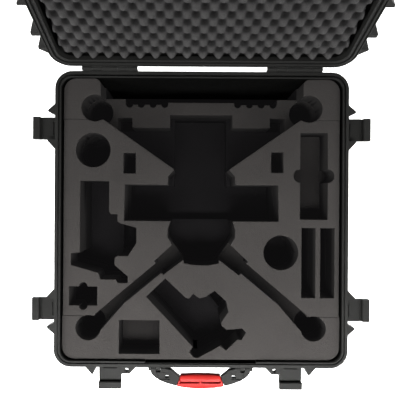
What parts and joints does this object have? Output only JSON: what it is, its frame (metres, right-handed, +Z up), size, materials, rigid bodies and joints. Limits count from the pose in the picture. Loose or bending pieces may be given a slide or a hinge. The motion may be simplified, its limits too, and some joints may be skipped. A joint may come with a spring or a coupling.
{
  "type": "drone carrying case",
  "caption": "Square hard-shell case standing open, with grey foam cut to a quadcopter's shape, egg-crate lid foam, swing latches and a red front grip.",
  "frame": {"origin": "middle of the flat underside of the base", "axes": "+X to the right seen from the front handle, +Y towards the lid's hinges, +Z up"},
  "size_m": [0.708, 0.9727, 0.8801],
  "materials": {
    "shell": "fine matt grain",
    "latch": "fine matt grain",
    "grip": "satin red",
    "seal": "matt black",
    "foam": "open-cell foam, dark grey",
    "foam_dark": "open-cell foam, dark grey",
    "steel": "satin",
    "aluminium": "satin",
    "tyre": "matt"
  },
  "bodies": {
    "base": {"base_shell": "shell", "foam_rear_left": "foam", "foam_rear_right": "foam", "foam_left": "foam", "foam_right": "foam", "foam_front": "foam", "foam_middle": "foam", "foam_lower": "foam_dark", "foam_base": "foam_dark", "hinge_pin_left": "steel", "hinge_pin_right": "steel", "front_handle_pin_left": "steel", "front_handle_pin_right": "steel", "side_handle_pin_left_front": "steel", "side_handle_pin_left_rear": "steel", "side_handle_pin_right_front": "steel", "side_handle_pin_right_rear": "steel", "wheel_axle_left": "steel", "wheel_axle_right": "steel", "pull_guide_left": "shell", "pull_guide_right": "shell", "channel_cover": "shell", "pressure_valve": "shell", "foot_front_left": "seal", "foot_front_right": "seal", "foot_rear_left": "seal", "foot_rear_right": "seal", "latch_pin_front_left": "steel", "latch_pin_front_right": "steel", "latch_pin_left_rear": "steel", "latch_pin_left_front": "steel", "latch_pin_right_rear": "steel", "latch_pin_right_front": "steel"},
    "lid": {"lid_shell": "shell", "lid_seal": "seal", "lid_foam": "foam"},
    "latch_body_front_left": {"latch_front_left": "latch"},
    "latch_button_body_front_left": {"latch_button_front_left": "shell"},
    "latch_body_front_right": {"latch_front_right": "latch"},
    "latch_button_body_front_right": {"latch_button_front_right": "shell"},
    "latch_body_left_rear": {"latch_left_rear": "latch"},
    "latch_button_body_left_rear": {"latch_button_left_rear": "shell"},
    "latch_body_left_front": {"latch_left_front": "latch"},
    "latch_button_body_left_front": {"latch_button_left_front": "shell"},
    "latch_body_right_rear": {"latch_right_rear": "latch"},
    "latch_button_body_right_rear": {"latch_button_right_rear": "shell"},
    "latch_body_right_front": {"latch_right_front": "latch"},
    "latch_button_body_right_front": {"latch_button_right_front": "shell"},
    "front_handle": {"front_handle_frame": "shell", "front_handle_grip": "grip"},
    "side_handle_body_left": {"side_handle_left": "shell"},
    "wheel_left": {"wheel_hub_left": "shell", "wheel_tyre_left": "tyre"},
    "side_handle_body_right": {"side_handle_right": "shell"},
    "wheel_right": {"wheel_hub_right": "shell", "wheel_tyre_right": "tyre"},
    "pull_handle": {"pull_tube_left": "aluminium", "pull_tube_right": "aluminium", "pull_grip": "shell"},
    "pull_button_body": {"pull_button": "grip"}
  },
  "joints": [
    {"name": "lid_hinge", "type": "hinge", "parent": "base", "child": "lid", "pos_m": [0, 0.3115, 0.29], "axis": [1, 0, 0], "range_deg": [0, 111.3]},
    {"name": "latch_turn_front_left", "type": "hinge", "parent": "base", "child": "latch_body_front_left", "pos_m": [-0.1895, -0.3025, 0.279], "axis": [-1, 0, 0], "range_deg": [0, 90]},
    {"name": "latch_press_front_left", "type": "slide", "parent": "latch_body_front_left", "child": "latch_button_body_front_left", "axis": [0, 0, 1], "range_m": [0, 0.0015], "stiffness_N_per_m": 400},
    {"name": "latch_turn_front_right", "type": "hinge", "parent": "base", "child": "latch_body_front_right", "pos_m": [0.1895, -0.3025, 0.279], "axis": [-1, 0, 0], "range_deg": [0, 90]},
    {"name": "latch_press_front_right", "type": "slide", "parent": "latch_body_front_right", "child": "latch_button_body_front_right", "axis": [0, 0, 1], "range_m": [0, 0.0015], "stiffness_N_per_m": 400},
    {"name": "latch_turn_left_rear", "type": "hinge", "parent": "base", "child": "latch_body_left_rear", "pos_m": [-0.3005, 0.1895, 0.279], "axis": [0, 1, 0], "range_deg": [0, 90]},
    {"name": "latch_press_left_rear", "type": "slide", "parent": "latch_body_left_rear", "child": "latch_button_body_left_rear", "axis": [0, 0, 1], "range_m": [0, 0.0015], "stiffness_N_per_m": 400},
    {"name": "latch_turn_left_front", "type": "hinge", "parent": "base", "child": "latch_body_left_front", "pos_m": [-0.3005, -0.1895, 0.279], "axis": [0, 1, 0], "range_deg": [0, 90]},
    {"name": "latch_press_left_front", "type": "slide", "parent": "latch_body_left_front", "child": "latch_button_body_left_front", "axis": [0, 0, 1], "range_m": [0, 0.0015], "stiffness_N_per_m": 400},
    {"name": "latch_turn_right_rear", "type": "hinge", "parent": "base", "child": "latch_body_right_rear", "pos_m": [0.3005, 0.1895, 0.279], "axis": [0, -1, 0], "range_deg": [0, 90]},
    {"name": "latch_press_right_rear", "type": "slide", "parent": "latch_body_right_rear", "child": "latch_button_body_right_rear", "axis": [0, 0, 1], "range_m": [0, 0.0015], "stiffness_N_per_m": 400},
    {"name": "latch_turn_right_front", "type": "hinge", "parent": "base", "child": "latch_body_right_front", "pos_m": [0.3005, -0.1895, 0.279], "axis": [0, -1, 0], "range_deg": [0, 90]},
    {"name": "latch_press_right_front", "type": "slide", "parent": "latch_body_right_front", "child": "latch_button_body_right_front", "axis": [0, 0, 1], "range_m": [0, 0.0015], "stiffness_N_per_m": 400},
    {"name": "front_handle_turn", "type": "hinge", "parent": "base", "child": "front_handle", "pos_m": [0, -0.313, 0.277], "axis": [1, 0, 0], "range_deg": [0, 90]},
    {"name": "side_handle_turn_left", "type": "hinge", "parent": "base", "child": "side_handle_body_left", "pos_m": [-0.2978, 0, 0.228], "axis": [0, 1, 0], "range_deg": [0, 90]},
    {"name": "wheel_spin_left", "type": "hinge", "parent": "base", "child": "wheel_left", "pos_m": [-0.235, 0.272, 0.0275], "axis": [1, 0, 0], "continuous": true},
    {"name": "side_handle_turn_right", "type": "hinge", "parent": "base", "child": "side_handle_body_right", "pos_m": [0.2978, 0, 0.228], "axis": [0, -1, 0], "range_deg": [0, 90]},
    {"name": "wheel_spin_right", "type": "hinge", "parent": "base", "child": "wheel_right", "pos_m": [0.235, 0.272, 0.0275], "axis": [1, 0, 0], "continuous": true},
    {"name": "pull_handle_slide", "type": "slide", "parent": "base", "child": "pull_handle", "axis": [0, -1, 0], "range_m": [0, 0.4]},
    {"name": "pull_button_press", "type": "slide", "parent": "pull_handle", "child": "pull_button_body", "axis": [0, 1, 0], "range_m": [0, 0.003], "stiffness_N_per_m": 400}
  ]
}
